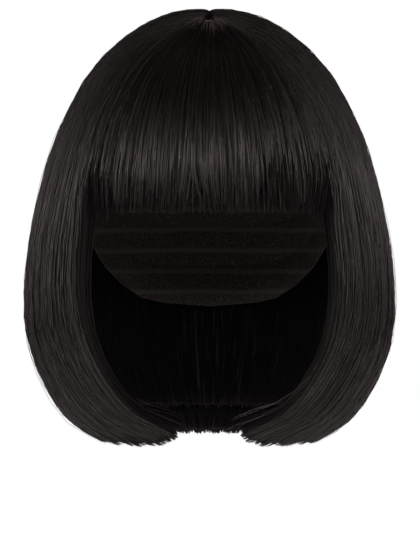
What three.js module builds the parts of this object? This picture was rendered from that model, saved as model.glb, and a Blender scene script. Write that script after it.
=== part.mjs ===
// A chin-length bob wig with a full fringe, in the form that it has on a head.
// Millimetres, +Z up. The face looks along -Y, and +X is on the right of someone who faces the wig.
// The origin is the highest point of the cap's inside, where the crown of a head meets it.
// The hair is walls of locks that run from a short parting at the crown to their cut ends.

import * as THREE from "three";

// The head that the cap is made for
const HEAD_HALF_WIDTH = 77;
const HEAD_FRONT = 95;
const HEAD_BACK = 100;
const HEAD_CROWN = 88; // from the widest level up to the crown
const HEAD_NAPE = 72; // from the widest level down to the end of the nape
const NAPE_TAPER = { side: 0.14, front: 0.05, back: 0.2 }; // shares that the head narrows by, down to there

// The cap and the parting
const CAP_THICKNESS = 1.5;
const PARTING_HALF_WIDTH = 2.2;
const PARTING_FRONT = 41;
const PARTING_BACK = 11;
const PARTING_THICKNESS = 1.2;

// How far the hair's outside stands out from that head
const CROWN_VOLUME = 10.5;
const SIDE_VOLUME = 27.5;
const FRONT_VOLUME = 12;
const BACK_VOLUME = 11;
const HAIR_DROP = 236.5; // from the crown's inside down to the ends

// The walls of hair
const HAIR_WALL = 11;
const NAPE_WALL = 7;
const LEAST_WALL = 3;
const LOCK_WIDTH = 16.5;
const LOCK_RELIEF = 1.2;
const RELIEF_RISE = 90; // length over which the locks stand out more and more
const LOCK_STAGGER = 2.2; // how much further the middle of a lock reaches than its sides
const ROOT_SHARE = 0.85; // of the wall, at the parting
const ROOT_RISE = 7; // length over which the hair rises from the parting to its full wall
const TIP_SHARE = 0.45; // of the wall, at the cut ends
const TIP_LENGTH = 22;
const EDGE_SHARE = 0.6; // of the wall, at an edge that hangs free
const EDGE_LIFT = 0.027; // of the hair's height, that the ends by the face are higher
const EDGE_LIFT_SPAN = 20; // degrees
const FRINGE_CUT = 105; // from the crown's inside down to the fringe's cut ends
const FRONT_SWEEP = 37; // degrees that the front locks sweep inwards under the chin
const NOTCH = { x: -8, halfWidth: 7.5, height: 19 }; // the gap in the fringe's cut edge

// Clearances
const SEAT_GAP = 0.8;
const PARTING_GAP = 0.3;
const PIECE_GAP = 0.6;
const NAPE_CLEARANCE = 2.2;

// Where one section of hair ends and the next begins, in degrees round the head from the face
const FRINGE_EDGE = 45;
const BACK_EDGE = 110;
const NAPE_EDGE = 72;

// The hair's outside from the crown down. depth is a share of the hair's whole height. side, front and
// back are shares of its largest reaches, wall of HAIR_WALL, and sweep of FRONT_SWEEP.
const SECTIONS = [
  { depth: 0.0, side: 0.0, front: 0.0, back: 0.0, wall: 1.0, sweep: 0.0 },
  { depth: 0.01, side: 0.215, front: 0.223, back: 0.222, wall: 1.0, sweep: 0.0 },
  { depth: 0.024, side: 0.302, front: 0.343, back: 0.34, wall: 1.0, sweep: 0.0 },
  { depth: 0.045, side: 0.391, front: 0.462, back: 0.456, wall: 1.0, sweep: 0.0 },
  { depth: 0.068, side: 0.467, front: 0.56, back: 0.552, wall: 1.0, sweep: 0.0 },
  { depth: 0.114, side: 0.584, front: 0.7, back: 0.69, wall: 1.0, sweep: 0.0 },
  { depth: 0.16, side: 0.671, front: 0.8, back: 0.788, wall: 1.0, sweep: 0.0 },
  { depth: 0.207, side: 0.734, front: 0.878, back: 0.864, wall: 1.0, sweep: 0.0 },
  { depth: 0.3, side: 0.834, front: 0.968, back: 0.952, wall: 1.0, sweep: 0.0 },
  { depth: 0.39, side: 0.899, front: 0.998, back: 0.988, wall: 1.0, sweep: 0.0 },
  { depth: 0.483, side: 0.951, front: 1.0, back: 1.0, wall: 1.0, sweep: 0.0 },
  { depth: 0.575, side: 0.986, front: 0.98, back: 1.0, wall: 1.0, sweep: 0.0 },
  { depth: 0.668, side: 1.0, front: 0.935, back: 0.988, wall: 1.0, sweep: 0.03 },
  { depth: 0.737, side: 0.992, front: 0.89, back: 0.963, wall: 0.98, sweep: 0.08 },
  { depth: 0.783, side: 0.967, front: 0.85, back: 0.935, wall: 0.95, sweep: 0.12 },
  { depth: 0.829, side: 0.929, front: 0.805, back: 0.895, wall: 0.92, sweep: 0.19 },
  { depth: 0.875, side: 0.875, front: 0.755, back: 0.845, wall: 0.88, sweep: 0.28 },
  { depth: 0.922, side: 0.806, front: 0.7, back: 0.785, wall: 0.84, sweep: 0.42 },
  { depth: 0.968, side: 0.69, front: 0.64, back: 0.71, wall: 0.8, sweep: 0.82 },
  { depth: 1.0, side: 0.58, front: 0.59, back: 0.65, wall: 0.8, sweep: 1.0 },
];
const SPREAD_LEVEL = 0.39; // depth share down to which a lock runs straight out from the parting, seen from above

// The cap's edge round half of the head. angle is in degrees from the face, and drop is a share of the
// way from the crown to the end of the nape.
const CAP_EDGE = [
  { angle: 0, drop: 0.39 },
  { angle: 35, drop: 0.41 },
  { angle: 58, drop: 0.53 },
  { angle: 74, drop: 0.7 },
  { angle: 90, drop: 0.61 },
  { angle: 108, drop: 0.66 },
  { angle: 130, drop: 0.85 },
  { angle: 155, drop: 0.98 },
  { angle: 180, drop: 1.0 },
];

// Where the nape hair starts and ends, as depth shares of the hair's whole height
const NAPE_LEVELS = [
  { angle: 72, top: 0.48, end: 0.93 },
  { angle: 110, top: 0.5, end: 0.955 },
  { angle: 140, top: 0.56, end: 0.965 },
  { angle: 180, top: 0.585, end: 0.965 },
];

// Sizes that follow from these
const HAIR_HEIGHT = CROWN_VOLUME + HAIR_DROP;
const HAIR_REACH = {
  side: HEAD_HALF_WIDTH + SIDE_VOLUME,
  front: HEAD_FRONT + FRONT_VOLUME,
  back: HEAD_BACK + BACK_VOLUME,
};
const CAP_OUTSIDE = CAP_THICKNESS;
const HAIR_SEAT = CAP_OUTSIDE + SEAT_GAP;
const FRINGE_LEVEL = (CROWN_VOLUME + FRINGE_CUT) / HAIR_HEIGHT;
const RADIANS = Math.PI / 180;

const smooth = (t) => {
  const s = Math.min(1, Math.max(0, t));
  return s * s * (3 - 2 * s);
};

// Reads a column of a table at a place in another column, on a curve that doesn't overshoot.
function lookup(table, key, column, at, scale = (x) => x) {
  const last = table.length - 1;
  const x = table.map((row) => scale(row[key]));
  const y = table.map((row) => row[column]);
  const t = Math.min(x[last], Math.max(x[0], scale(at)));
  let i = 0;
  while (i < last - 1 && t > x[i + 1]) i += 1;
  const chord = (k) => (y[k + 1] - y[k]) / (x[k + 1] - x[k]);
  const slope = (k) => {
    if (k === 0) return chord(0);
    if (k === last) return chord(last - 1);
    const before = chord(k - 1);
    const after = chord(k);
    return before * after <= 0 ? 0 : (2 * before * after) / (before + after);
  };
  const step = x[i + 1] - x[i];
  const s = (t - x[i]) / step;
  const bend = s * s * (3 - 2 * s);
  const rise = slope(i) * step * s * (1 - s) * (1 - s);
  const fall = slope(i + 1) * step * s * s * (1 - s);
  return y[i] + (y[i + 1] - y[i]) * bend + rise - fall;
}

const section = (column, depth) => lookup(SECTIONS, "depth", column, depth, Math.sqrt);

// How far out of the head a point lies: 1 is on the head's skin, grown by a margin.
function headValue(point, margin) {
  const below = Math.max(0, -point.z - HEAD_CROWN) / HEAD_NAPE;
  const narrow = (share) => 1 - share * below * below;
  const length = point.y < 0 ? HEAD_FRONT * narrow(NAPE_TAPER.front) : HEAD_BACK * narrow(NAPE_TAPER.back);
  const across = point.x / (HEAD_HALF_WIDTH * narrow(NAPE_TAPER.side) + margin);
  const along = point.y / (length + margin);
  const up = Math.max(0, point.z + HEAD_CROWN) / (HEAD_CROWN + margin);
  return Math.sqrt(across * across + along * along + up * up);
}

// The direction straight out of the head at a point
function headOutward(point) {
  const step = 0.5;
  const value = (x, y, z) => headValue(new THREE.Vector3(point.x + x, point.y + y, point.z + z), 0);
  return new THREE.Vector3(
    value(step, 0, 0) - value(-step, 0, 0),
    value(0, step, 0) - value(0, -step, 0),
    value(0, 0, step) - value(0, 0, -step),
  ).normalize();
}

// How far it is from a point to the head's skin, grown by a margin, going one way. Infinity if it misses.
function wayToHead(point, inward, margin) {
  const reach = SIDE_VOLUME + HAIR_WALL;
  const lowest = -HEAD_CROWN - HEAD_NAPE;
  if (point.z < lowest) return Infinity;
  const value = (s) => headValue(point.clone().addScaledVector(inward, s), margin) - 1;
  if (value(reach) > 0) return Infinity;
  let near = -reach;
  let far = reach;
  for (let i = 0; i < 40; i += 1) {
    const middle = (near + far) / 2;
    if (value(middle) > 0) near = middle;
    else far = middle;
  }
  return (near + far) / 2;
}

// A point on the outside of the hair at a depth share, at an angle round the head
function outsidePoint(angle, depth) {
  const turn = angle * RADIANS;
  const reach = Math.cos(turn) > 0 ? HAIR_REACH.front * section("front", depth) : HAIR_REACH.back * section("back", depth);
  return new THREE.Vector3(
    HAIR_REACH.side * section("side", depth) * Math.sin(turn),
    -reach * Math.cos(turn),
    CROWN_VOLUME - HAIR_HEIGHT * depth,
  );
}

// The depth share at which the hair's outside lies over a point seen from above
function depthOver(x, y) {
  let high = 0;
  let low = 1;
  for (let i = 0; i < 40; i += 1) {
    const middle = (high + low) / 2;
    const side = HAIR_REACH.side * section("side", middle);
    const length = y < 0 ? HAIR_REACH.front * section("front", middle) : HAIR_REACH.back * section("back", middle);
    if ((x / side) ** 2 + (y / length) ** 2 > 1) high = middle;
    else low = middle;
    if (low > SPREAD_LEVEL * 1.2) low = SPREAD_LEVEL * 1.2;
  }
  return (high + low) / 2;
}

// Where the lock at an angle leaves the outline of the parting, seen from above
function rootOf(angle) {
  const side = Math.sign(angle) || 1;
  const size = Math.abs(angle);
  const margin = PARTING_HALF_WIDTH + SEAT_GAP;
  const centre = { front: -(PARTING_FRONT - PARTING_HALF_WIDTH), back: PARTING_BACK - PARTING_HALF_WIDTH };
  const along = (size - FRINGE_EDGE) / (BACK_EDGE - FRINGE_EDGE);
  let turn = 90;
  let y = centre.front + (centre.back - centre.front) * along;
  if (along < 0) {
    turn = (90 * size) / FRINGE_EDGE;
    y = centre.front;
  } else if (along > 1) {
    turn = 90 + (90 * (size - BACK_EDGE)) / (180 - BACK_EDGE);
    y = centre.back;
  }
  const scalp = new THREE.Vector3(side * margin * Math.sin(turn * RADIANS), y - margin * Math.cos(turn * RADIANS), 0);
  const lift = 1 + (CROWN_VOLUME - HAIR_SEAT) / HEAD_CROWN;
  return { x: scalp.x * lift, y: scalp.y * lift };
}

// The line that a lock follows on the outside of the hair, with the length run at each point
function lockLine(angle, endDepth) {
  const domeSteps = 18;
  const fallSteps = 26;
  const root = rootOf(angle);
  const spread = outsidePoint(angle, SPREAD_LEVEL);
  const points = [];
  for (let i = 0; i < domeSteps; i += 1) {
    const share = Math.sin(((i / domeSteps) * Math.PI) / 2);
    const x = root.x + (spread.x - root.x) * share;
    const y = root.y + (spread.y - root.y) * share;
    const depth = depthOver(x, y);
    points.push({ place: new THREE.Vector3(x, y, CROWN_VOLUME - HAIR_HEIGHT * depth), depth });
  }
  for (let i = 0; i <= fallSteps; i += 1) {
    const depth = SPREAD_LEVEL + ((endDepth - SPREAD_LEVEL) * i) / fallSteps;
    const frontShare = 1 - smooth((Math.abs(angle) - FRINGE_EDGE) / (100 - FRINGE_EDGE));
    const swept = angle - Math.sign(angle) * FRONT_SWEEP * section("sweep", depth) * frontShare;
    points.push({ place: outsidePoint(swept, depth), depth });
  }
  let run = 0;
  points.forEach((point, i) => {
    if (i > 0) run += point.place.distanceTo(points[i - 1].place);
    point.run = run;
  });
  return points;
}

// The place, depth share and length run at a share of the way along a lock's line
function alongLine(points, share) {
  const run = points[points.length - 1].run * Math.min(1, Math.max(0, share));
  let i = 1;
  while (i < points.length - 1 && points[i].run < run) i += 1;
  const [a, b] = [points[i - 1], points[i]];
  const t = (run - a.run) / (b.run - a.run);
  return { place: a.place.clone().lerp(b.place, t), depth: a.depth + (b.depth - a.depth) * t, run };
}

// Stores the triangles of a wall between two grids of points that share their edges.
function wallGeometry(outer, inner) {
  const rows = outer.length;
  const columns = outer[0].length;
  const positions = [];
  [outer, inner].forEach((grid) => grid.forEach((row) => row.forEach((p) => positions.push(p.x, p.y, p.z))));
  const out = (r, c) => r * columns + c;
  const into = (r, c) => rows * columns + r * columns + c;
  const index = [];
  const quad = (a, b, c, d) => index.push(a, b, c, a, c, d);
  for (let r = 0; r < rows - 1; r += 1) {
    for (let c = 0; c < columns - 1; c += 1) {
      quad(out(r, c), out(r + 1, c), out(r + 1, c + 1), out(r, c + 1));
      quad(into(r, c), into(r, c + 1), into(r + 1, c + 1), into(r + 1, c));
    }
    quad(out(r, 0), into(r, 0), into(r + 1, 0), out(r + 1, 0));
    quad(out(r, columns - 1), out(r + 1, columns - 1), into(r + 1, columns - 1), into(r, columns - 1));
  }
  for (let c = 0; c < columns - 1; c += 1) {
    quad(out(0, c), out(0, c + 1), into(0, c + 1), into(0, c));
    quad(out(rows - 1, c), into(rows - 1, c), into(rows - 1, c + 1), out(rows - 1, c + 1));
  }
  const geometry = new THREE.BufferGeometry();
  geometry.setAttribute("position", new THREE.Float32BufferAttribute(positions, 3));
  geometry.setIndex(index);
  geometry.computeVertexNormals();
  return geometry;
}

// The columns across a row of locks: each lock has its two sides and a full middle. Widths vary lock by lock.
function lockColumns(from, to, widest, perLock) {
  const span = Math.abs(to - from) * RADIANS * widest;
  const count = Math.max(3, Math.round(span / LOCK_WIDTH));
  const widths = Array.from({ length: count }, (_, i) => 1 + 0.28 * Math.sin(2.3 * i + 1) * Math.cos(1.1 * i));
  const whole = widths.reduce((sum, w) => sum + w, 0);
  const columns = [];
  let start = 0;
  widths.forEach((width, i) => {
    for (let k = 0; k < perLock; k += 1) {
      const across = k / perLock;
      const full = Math.sin(Math.PI * across) ** 0.7;
      columns.push({ share: (start + width * across) / whole, full, lock: i });
    }
    start += width;
  });
  columns.push({ share: 1, full: 0, lock: count - 1 });
  return columns.map((column) => ({ ...column, angle: from + (to - from) * column.share }));
}

// Rows lie closer together near the roots and near the cut ends.
const rowShare = (t) => 0.4 * t + 0.3 * (1 - Math.cos(Math.PI * t));

// A wall of locks. Its settings are the angles that it spans, its depth shares, its rows, the wall and the
// depth under the hair's outside, and which of its side edges hang free below the fringe.
function hairWall(settings) {
  const { from, to, startDepth, endDepth, rows, perLock = 3, wall, under = 0, freeEdges = [] } = settings;
  const columns = lockColumns(from, to, HAIR_REACH.back, perLock);
  const outer = Array.from({ length: rows + 1 }, () => []);
  const inner = Array.from({ length: rows + 1 }, () => []);
  const turnStep = 0.4;
  columns.forEach((column, c) => {
    const stagger = (LOCK_STAGGER / HAIR_HEIGHT) * (column.full - 0.5) * (0.7 + 0.5 * Math.sin(1.7 * column.lock));
    const end = (angle) => endDepth(angle) + stagger;
    const line = lockLine(column.angle, end(column.angle));
    const lineBefore = lockLine(column.angle - turnStep, end(column.angle - turnStep));
    const lineAfter = lockLine(column.angle + turnStep, end(column.angle + turnStep));
    const length = line[line.length - 1].run;
    const first = startDepth ? line.findIndex((point) => point.depth >= startDepth(column.angle)) : 0;
    const startShare = line[first].run / length;
    for (let r = 0; r <= rows; r += 1) {
      const share = startShare + (1 - startShare) * rowShare(r / rows);
      const here = alongLine(line, share);
      const step = 0.02;
      const down = alongLine(line, share + step).place.sub(alongLine(line, share - step).place);
      const across = alongLine(lineAfter, share).place.sub(alongLine(lineBefore, share).place);
      const outward = down.clone().cross(across).normalize();
      const domeShare = 1 - smooth((here.depth - 0.22) / 0.26);
      outward.lerp(headOutward(here.place), domeShare).normalize();
      const place = here.place.clone().addScaledVector(outward, -under);

      const away = wayToHead(place, outward.clone().negate(), HAIR_SEAT);
      if (away < LEAST_WALL) place.addScaledVector(outward, LEAST_WALL - away);
      let thickness = Math.min(Math.max(away, LEAST_WALL), wall * section("wall", here.depth));
      const innerPlace = place.clone().addScaledVector(outward, -thickness);

      if (!startDepth) thickness *= ROOT_SHARE + (1 - ROOT_SHARE) * smooth(here.run / ROOT_RISE);
      const tip = smooth((length - here.run) / TIP_LENGTH);
      const tipShare = TIP_SHARE + (1 - TIP_SHARE) * tip;
      const edgeDistance = Math.min(
        ...freeEdges.map((edge) => Math.abs(column.angle - edge) * RADIANS * HAIR_REACH.side),
        LOCK_WIDTH,
      );
      const free = smooth((here.depth - FRINGE_LEVEL + 0.05) / 0.08);
      const edgeShare = 1 - (1 - EDGE_SHARE) * free * (1 - smooth(edgeDistance / LOCK_WIDTH));
      const relief = LOCK_RELIEF * (column.full - 0.6) * smooth(here.run / RELIEF_RISE) * edgeShare;
      thickness = Math.max(thickness * tipShare * edgeShare + relief, LEAST_WALL * TIP_SHARE);
      const middle = (1 - tipShare) * 0.5 * wall;
      const base = innerPlace.addScaledVector(outward, middle);

      const inset = c === 0 ? PIECE_GAP / 2 : c === columns.length - 1 ? -PIECE_GAP / 2 : 0;
      base.addScaledVector(across.normalize(), inset);
      inner[r].push(base);
      outer[r].push(base.clone().addScaledVector(outward, thickness));
    }
  });
  return wallGeometry(outer, inner);
}

// The fringe's cut edge is level, with one narrow gap where the locks part.
function fringeEnd(angle) {
  const x = HAIR_REACH.side * section("side", FRINGE_LEVEL) * Math.sin(angle * RADIANS);
  const gap = Math.max(0, 1 - Math.abs(x - NOTCH.x) / NOTCH.halfWidth);
  return FRINGE_LEVEL - (gap * NOTCH.height) / HAIR_HEIGHT;
}

// The sides and back are cut level too. The foremost locks are a little shorter.
const curtainEnd = (angle) =>
  1 - EDGE_LIFT * Math.max(0, 1 - (Math.abs(angle) - FRINGE_EDGE) / EDGE_LIFT_SPAN) ** 2 - LOCK_STAGGER / HAIR_HEIGHT / 2;

const napeLevel = (column) => (angle) => lookup(NAPE_LEVELS, "angle", column, Math.min(Math.abs(angle), 360 - Math.abs(angle)));

// The cap: a thin shell on the head, with its hairline, ear tabs and nape
function capGeometry() {
  const columns = 36;
  const rows = 9;
  const whole = HEAD_CROWN + HEAD_NAPE;
  const surface = (margin) => {
    const grid = [];
    for (let r = 1; r <= rows; r += 1) {
      const row = [];
      for (let c = 0; c < columns; c += 1) {
        const angle = (360 * c) / columns;
        const edge = whole * lookup(CAP_EDGE, "angle", "drop", Math.min(angle, 360 - angle));
        const atEdge = edge < HEAD_CROWN ? Math.acos(1 - edge / HEAD_CROWN) : Math.PI / 2 + edge / HEAD_CROWN - 1;
        const latitude = (atEdge * r) / rows;
        const over = Math.min(latitude, Math.PI / 2);
        const below = Math.max(0, latitude - Math.PI / 2) * HEAD_CROWN;
        const z = -HEAD_CROWN + (HEAD_CROWN + margin) * Math.cos(over) - below;
        const reach = Math.sin(over);
        const turn = angle * RADIANS;
        const level = new THREE.Vector3(Math.sin(turn), -Math.cos(turn), z);
        const flat = new THREE.Vector3(level.x, level.y, Math.min(z, -HEAD_CROWN));
        const scale = reach / headValue(flat, margin);
        row.push(new THREE.Vector3(level.x * scale, level.y * scale, z));
      }
      grid.push(row);
    }
    return grid;
  };
  const outer = surface(CAP_OUTSIDE);
  const inner = surface(0);
  const positions = [];
  [outer, inner].forEach((grid) => grid.forEach((row) => row.forEach((p) => positions.push(p.x, p.y, p.z))));
  const pole = { outer: 2 * rows * columns, inner: 2 * rows * columns + 1 };
  positions.push(0, 0, CAP_OUTSIDE, 0, 0, 0);
  const out = (r, c) => r * columns + (c % columns);
  const into = (r, c) => rows * columns + r * columns + (c % columns);
  const index = [];
  const quad = (a, b, c, d) => index.push(a, b, c, a, c, d);
  for (let c = 0; c < columns; c += 1) {
    index.push(pole.outer, out(0, c), out(0, c + 1));
    index.push(pole.inner, into(0, c + 1), into(0, c));
    for (let r = 0; r < rows - 1; r += 1) {
      quad(out(r, c), out(r + 1, c), out(r + 1, c + 1), out(r, c + 1));
      quad(into(r, c), into(r, c + 1), into(r + 1, c + 1), into(r + 1, c));
    }
    quad(out(rows - 1, c), into(rows - 1, c), into(rows - 1, c + 1), out(rows - 1, c + 1));
  }
  const geometry = new THREE.BufferGeometry();
  geometry.setAttribute("position", new THREE.Float32BufferAttribute(positions, 3));
  geometry.setIndex(index);
  geometry.computeVertexNormals();
  return geometry;
}

// The parting: a narrow strip with round ends that lies on the crown of the cap
function partingGeometry() {
  const rows = 10;
  const columns = 3;
  const middle = (PARTING_BACK - PARTING_FRONT) / 2;
  const half = (PARTING_BACK + PARTING_FRONT) / 2;
  const straight = half - PARTING_HALF_WIDTH;
  const crownPoint = (x, y, margin) => {
    const length = (y < 0 ? HEAD_FRONT : HEAD_BACK) + margin;
    const level = (x / (HEAD_HALF_WIDTH + margin)) ** 2 + (y / length) ** 2;
    return new THREE.Vector3(x, y, -HEAD_CROWN + (HEAD_CROWN + margin) * Math.sqrt(1 - level));
  };
  const surface = (margin) =>
    Array.from({ length: rows + 1 }, (_, r) => {
      const along = -half * Math.cos((Math.PI * r) / rows);
      const past = Math.min(Math.max(0, Math.abs(along) - straight), PARTING_HALF_WIDTH * 0.97);
      const reach = Math.sqrt(PARTING_HALF_WIDTH ** 2 - past ** 2);
      return Array.from({ length: columns + 1 }, (_, c) => crownPoint(reach * (1 - (2 * c) / columns), middle + along, margin));
    });
  const seat = CAP_OUTSIDE + PARTING_GAP;
  return wallGeometry(surface(seat + PARTING_THICKNESS), surface(seat));
}

function hairMaterial() {
  return new THREE.MeshStandardMaterial({ name: "hair", color: 0x1c1818, roughness: 0.45, metalness: 0 });
}

function netMaterial() {
  return new THREE.MeshStandardMaterial({ name: "net", color: 0x151414, roughness: 0.9, metalness: 0 });
}

function skinTopMaterial() {
  return new THREE.MeshStandardMaterial({ name: "skin_top", color: 0x1e1815, roughness: 0.6, metalness: 0 });
}

function addPiece(group, name, geometry, material) {
  const mesh = new THREE.Mesh(geometry, material);
  mesh.name = name;
  group.add(mesh);
}

function buildWig() {
  const wig = new THREE.Group();
  wig.name = "bob_wig";
  addPiece(wig, "cap", capGeometry(), netMaterial());
  addPiece(wig, "parting", partingGeometry(), skinTopMaterial());

  const fringe = { from: -FRINGE_EDGE, to: FRINGE_EDGE, endDepth: fringeEnd, rows: 11, wall: HAIR_WALL };
  addPiece(wig, "fringe", hairWall(fringe), hairMaterial());

  const side = { endDepth: curtainEnd, rows: 17, wall: HAIR_WALL };
  const right = { ...side, from: FRINGE_EDGE, to: BACK_EDGE, freeEdges: [FRINGE_EDGE] };
  const left = { ...side, from: -BACK_EDGE, to: -FRINGE_EDGE, freeEdges: [-FRINGE_EDGE] };
  addPiece(wig, "side_right", hairWall(right), hairMaterial());
  addPiece(wig, "side_left", hairWall(left), hairMaterial());

  const back = { from: BACK_EDGE, to: 360 - BACK_EDGE, endDepth: curtainEnd, rows: 17, wall: HAIR_WALL };
  addPiece(wig, "back", hairWall(back), hairMaterial());

  const nape = {
    from: NAPE_EDGE,
    to: 360 - NAPE_EDGE,
    startDepth: napeLevel("top"),
    endDepth: napeLevel("end"),
    rows: 7,
    perLock: 2,
    wall: NAPE_WALL,
    under: HAIR_WALL + NAPE_CLEARANCE,
  };
  addPiece(wig, "nape_hair", hairWall(nape), hairMaterial());
  return wig;
}

export default buildWig();
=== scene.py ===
"""Looks of a chin-length bob wig: strands of hair on dark backing walls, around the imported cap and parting.

The hair follows the same lines as the solids. Sizes are in millimetres while the shape is worked out, and in
metres in every mesh.
"""

import math

import bpy
import numpy as np
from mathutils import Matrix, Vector


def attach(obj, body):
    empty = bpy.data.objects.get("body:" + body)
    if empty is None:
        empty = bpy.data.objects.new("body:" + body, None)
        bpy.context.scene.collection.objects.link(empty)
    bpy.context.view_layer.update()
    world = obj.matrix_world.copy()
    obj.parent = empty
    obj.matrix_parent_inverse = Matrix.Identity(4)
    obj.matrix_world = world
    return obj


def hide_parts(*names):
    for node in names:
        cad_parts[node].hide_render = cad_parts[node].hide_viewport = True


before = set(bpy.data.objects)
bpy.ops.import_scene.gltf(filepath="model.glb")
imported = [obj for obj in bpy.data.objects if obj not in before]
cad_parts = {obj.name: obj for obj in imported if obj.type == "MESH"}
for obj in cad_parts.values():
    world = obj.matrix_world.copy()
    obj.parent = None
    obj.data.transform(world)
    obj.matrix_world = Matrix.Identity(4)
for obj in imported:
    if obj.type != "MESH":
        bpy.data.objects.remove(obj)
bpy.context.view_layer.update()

MM = 0.001
RADIANS = math.pi / 180
SEED = 7

# The head that the cap is made for, and the sizes of the hair, as in the solids
HEAD_HALF_WIDTH = 77
HEAD_FRONT = 95
HEAD_BACK = 100
HEAD_CROWN = 88
HEAD_NAPE = 72
NAPE_TAPER = {"side": 0.14, "front": 0.05, "back": 0.2}
CAP_THICKNESS = 1.5
PARTING_HALF_WIDTH = 2.2
PARTING_FRONT = 41
PARTING_BACK = 11
CROWN_VOLUME = 10.5
SIDE_VOLUME = 27.5
FRONT_VOLUME = 12
BACK_VOLUME = 11
HAIR_DROP = 236.5
HAIR_WALL = 11
NAPE_WALL = 7
LEAST_WALL = 3
LOCK_WIDTH = 16.5
LOCK_RELIEF = 1.2
RELIEF_RISE = 90
RELIEF_MIDDLE = 0.6
LOCK_STAGGER = 2.2
STAGGER_SHARE = 0.3
ROOT_SHARE = 0.95
ROOT_RISE = 7
TIP_SHARE = 0.45
TIP_LENGTH = 22
EDGE_SHARE = 0.6
EDGE_LIFT = 0.027
EDGE_LIFT_SPAN = 20
FRINGE_CUT = 105
FRONT_SWEEP = 37
NOTCH_X = -8
NOTCH_HALF_WIDTH = 7.5
NOTCH_HEIGHT = 19
SEAT_GAP = 0.8
NAPE_CLEARANCE = 2.2
FRINGE_EDGE = 45
BACK_EDGE = 110
NAPE_EDGE = 72
SPREAD_LEVEL = 0.39
# The depth share from which the walls stop following the head's own direction, and over how much more of it
DOME_LEVEL, DOME_FADE = 0.22, 0.26

# The dark gap between each end of the fringe and the side hair: its width, its height, how far to the side the
# fringe starts to draw back from it, and over what width
END_GAP = 5.5
END_GAP_HEIGHT = 24
END_GAP_START, END_GAP_SPAN = 44, 26
# The gap in the fringe: the height that it opens over, how far its left and right side reach, how far each
# moves, and its middle
NOTCH_RISE = NOTCH_HEIGHT * 1.2
NOTCH_REACH = (12.0, 18.0)
NOTCH_MOVE = (-0.45 * NOTCH_HALF_WIDTH, NOTCH_HALF_WIDTH)
NOTCH_MIDDLE = NOTCH_X - 1.5
# Where the fringe is thin, and where its longer strands hang
THIN_X = 35
THIN_WIDTH = 9
LONG_X = 63.5
LONG_WIDTH = 4
# How far to the side the backing of the fringe gets shorter, and over what width
BACKING_CORNER, CORNER_WIDTH = 51, 9

# The map of the strands: right of MIXED_U lie those that pass into painted shade part of the way along, and
# right of UNDER_U those painted in shade all along. LAST_U is its end, and CORNER_U the distance between a
# strand's corners on it
MIXED_U, UNDER_U, LAST_U = 0.5, 0.84, 0.998
CORNER_U = 0.00035

# Strands, as shares of their half width: how high their ridge stands, and how deep their two lower corners lie
RIDGE, BASE = 0.55, 0.3
# Of all strands of a section, the shares that belong to no lock, that hang right at a free edge, and that are
# short
LOOSE_SHARE, EDGE_STRANDS, SHORT_SHARE = 0.14, 0.035, 0.14
# By how much short strands, whole locks and single strands differ in length, in a section of raggedness 1
SHORT_CUT, LOCK_RAGGED, OWN_RAGGED = 9, 0.7, 0.8
# Strands nearer the surface than this share of the wall lie in the light, and the deeper ones get the painted
# shade all along
LIT_LAYER = 0.2
# Lengths run at which the first points of a strand lie, how deep a root sinks under its neighbours, and the
# length over which a strand gets thinner at each end
ROOT_POINTS = (0.0, 3.5, 9.0)
ROOT_SINK = 0.8
TAPER_LENGTH = 12

# depth, side, front, back, wall and sweep, as in the solids
SECTIONS = np.array([
    (0.0, 0.0, 0.0, 0.0, 1.0, 0.0),
    (0.01, 0.215, 0.223, 0.222, 1.0, 0.0),
    (0.024, 0.302, 0.343, 0.34, 1.0, 0.0),
    (0.045, 0.391, 0.462, 0.456, 1.0, 0.0),
    (0.068, 0.467, 0.56, 0.552, 1.0, 0.0),
    (0.114, 0.584, 0.7, 0.69, 1.0, 0.0),
    (0.16, 0.671, 0.8, 0.788, 1.0, 0.0),
    (0.207, 0.734, 0.878, 0.864, 1.0, 0.0),
    (0.3, 0.834, 0.968, 0.952, 1.0, 0.0),
    (0.39, 0.899, 0.998, 0.988, 1.0, 0.0),
    (0.483, 0.951, 1.0, 1.0, 1.0, 0.0),
    (0.575, 0.986, 0.98, 1.0, 1.0, 0.0),
    (0.668, 1.0, 0.935, 0.988, 1.0, 0.03),
    (0.737, 0.992, 0.89, 0.963, 0.98, 0.08),
    (0.783, 0.967, 0.85, 0.935, 0.95, 0.12),
    (0.829, 0.929, 0.805, 0.895, 0.92, 0.19),
    (0.875, 0.875, 0.755, 0.845, 0.88, 0.28),
    (0.922, 0.806, 0.7, 0.785, 0.84, 0.42),
    (0.968, 0.69, 0.64, 0.71, 0.8, 0.82),
    (1.0, 0.58, 0.59, 0.65, 0.8, 1.0),
])
COLUMN = {"side": 1, "front": 2, "back": 3, "wall": 4, "sweep": 5}

# angle, top and end of the nape hair
NAPE_LEVELS = np.array([(72, 0.48, 0.93), (110, 0.5, 0.955), (140, 0.56, 0.965), (180, 0.585, 0.965)])

HAIR_HEIGHT = CROWN_VOLUME + HAIR_DROP
REACH_SIDE = HEAD_HALF_WIDTH + SIDE_VOLUME
REACH_FRONT = HEAD_FRONT + FRONT_VOLUME
REACH_BACK = HEAD_BACK + BACK_VOLUME
HAIR_SEAT = CAP_THICKNESS + SEAT_GAP
FRINGE_LEVEL = (CROWN_VOLUME + FRINGE_CUT) / HAIR_HEIGHT


def smooth(t):
    """0 up to 0, 1 from 1 on, and an even bend between."""
    s = np.clip(t, 0, 1)
    return s * s * (3 - 2 * s)


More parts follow.
